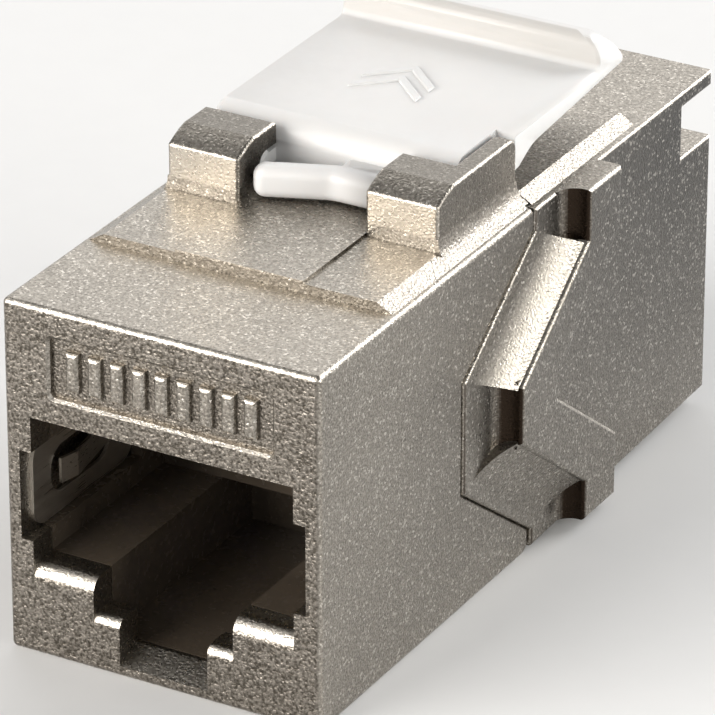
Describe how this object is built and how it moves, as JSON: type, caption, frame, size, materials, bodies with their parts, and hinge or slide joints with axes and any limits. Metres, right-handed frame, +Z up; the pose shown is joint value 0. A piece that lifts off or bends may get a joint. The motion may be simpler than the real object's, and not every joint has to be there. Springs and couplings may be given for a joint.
{
  "type": "keystone jack",
  "caption": "In-line keystone jack: a shielded coupler with a modular plug port at each end, side stop ribs and a sprung latch on top.",
  "frame": {"origin": "middle of the base, at the bottom of the bounding box", "axes": "+Z up towards the latch, +Y from the front port to the rear port, +X to the right seen from the front port"},
  "size_m": [0.0168, 0.0336, 0.0202],
  "materials": {
    "zinc": "satin",
    "latch_plastic": "satin",
    "carrier_plastic": "matte",
    "board": "satin",
    "contact_metal": "polished",
    "spring_metal": "satin"
  },
  "bodies": {
    "body": {"front_housing": "zinc", "rear_housing": "zinc", "front_carrier": "carrier_plastic", "rear_carrier": "carrier_plastic", "circuit_board": "board", "front_contact_1": "contact_metal", "front_contact_2": "contact_metal", "front_contact_3": "contact_metal", "front_contact_4": "contact_metal", "front_contact_5": "contact_metal", "front_contact_6": "contact_metal", "front_contact_7": "contact_metal", "front_contact_8": "contact_metal", "rear_contact_1": "contact_metal", "rear_contact_2": "contact_metal", "rear_contact_3": "contact_metal", "rear_contact_4": "contact_metal", "rear_contact_5": "contact_metal", "rear_contact_6": "contact_metal", "rear_contact_7": "contact_metal", "rear_contact_8": "contact_metal", "front_ground_spring_left": "spring_metal", "front_ground_spring_right": "spring_metal", "rear_ground_spring_left": "spring_metal", "rear_ground_spring_right": "spring_metal"},
    "latch": {"latch": "latch_plastic"}
  },
  "joints": [
    {"name": "latch", "type": "hinge", "parent": "body", "child": "latch", "pos_m": [0, -0.00335, 0.0172], "axis": [-1, 0, 0], "range_deg": [0, 7], "stiffness_Nm_per_rad": 0.05}
  ]
}
